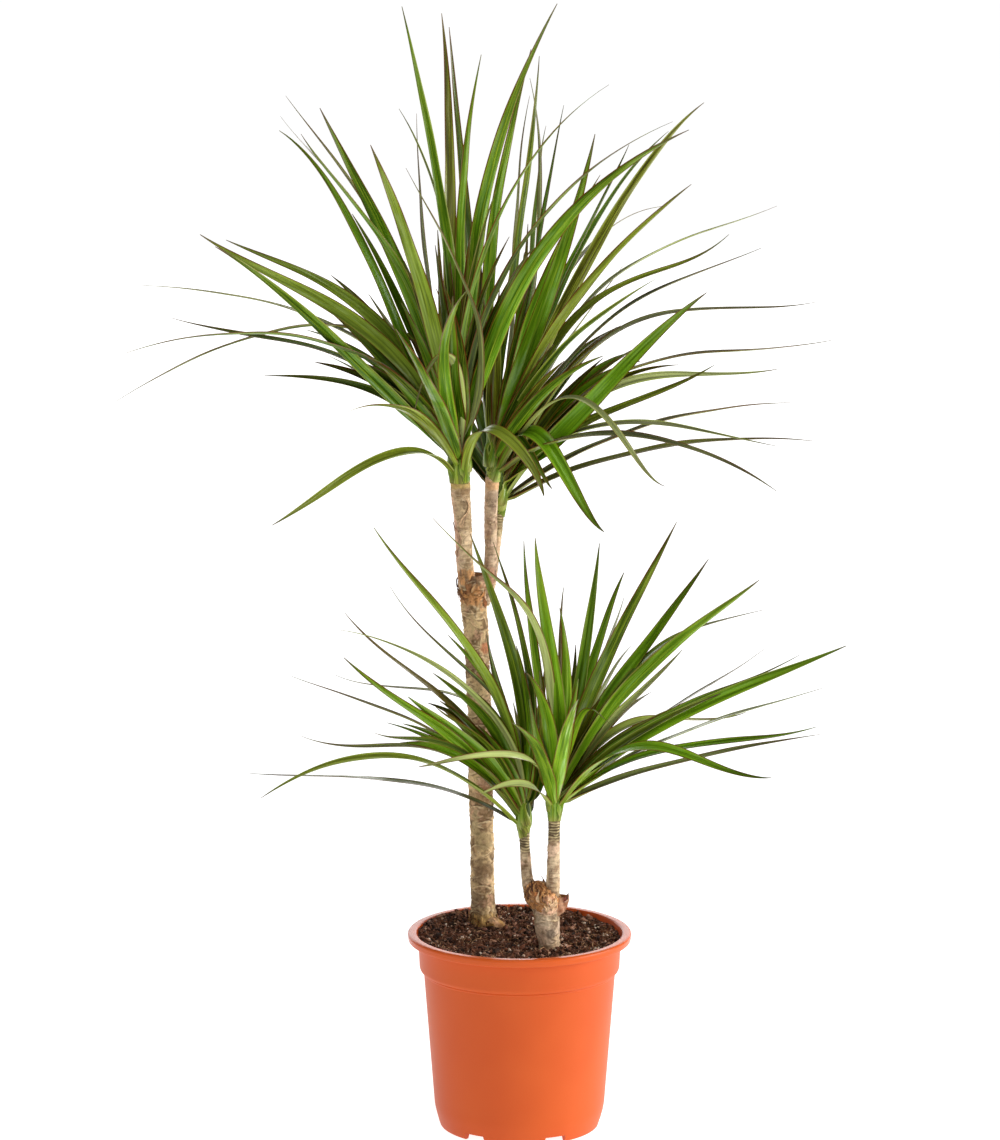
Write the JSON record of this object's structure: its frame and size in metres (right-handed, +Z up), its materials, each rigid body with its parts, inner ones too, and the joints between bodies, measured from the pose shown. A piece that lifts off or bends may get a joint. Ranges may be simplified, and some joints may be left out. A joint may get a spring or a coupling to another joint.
{
  "type": "potted dracaena",
  "caption": "Potted dracaena: bare branching canes carrying heads of long narrow arching leaves, planted in soil in a round flowerpot with a rolled rim, for standing on a floor or a shelf.",
  "frame": {"origin": "centre of the pot's underside, on the surface it stands on", "axes": "+Z up along the pot and the canes, -Y towards the front, +X to the right seen from the front"},
  "size_m": [0.5577, 0.5204, 0.8536],
  "materials": {
    "pot_plastic": "semi-gloss moulded orange polypropylene",
    "peat_soil": "matt, crumbly, with fibres and pale grains",
    "cane_bark": "matt tan bark with crescent leaf scars",
    "grey_bark": "matt grey-beige bark with close ring scars",
    "leaf": "semi-gloss green with fine parallel veins and a thin maroon edge"
  },
  "bodies": {
    "root": {"pot": "pot_plastic", "soil": "peat_soil", "tall_cane": "cane_bark", "short_cane": "grey_bark", "tall_cane_left_head": "leaf", "tall_cane_middle_head": "leaf", "tall_cane_right_head": "leaf", "short_cane_left_head": "leaf", "short_cane_right_head": "leaf"}
  },
  "joints": []
}
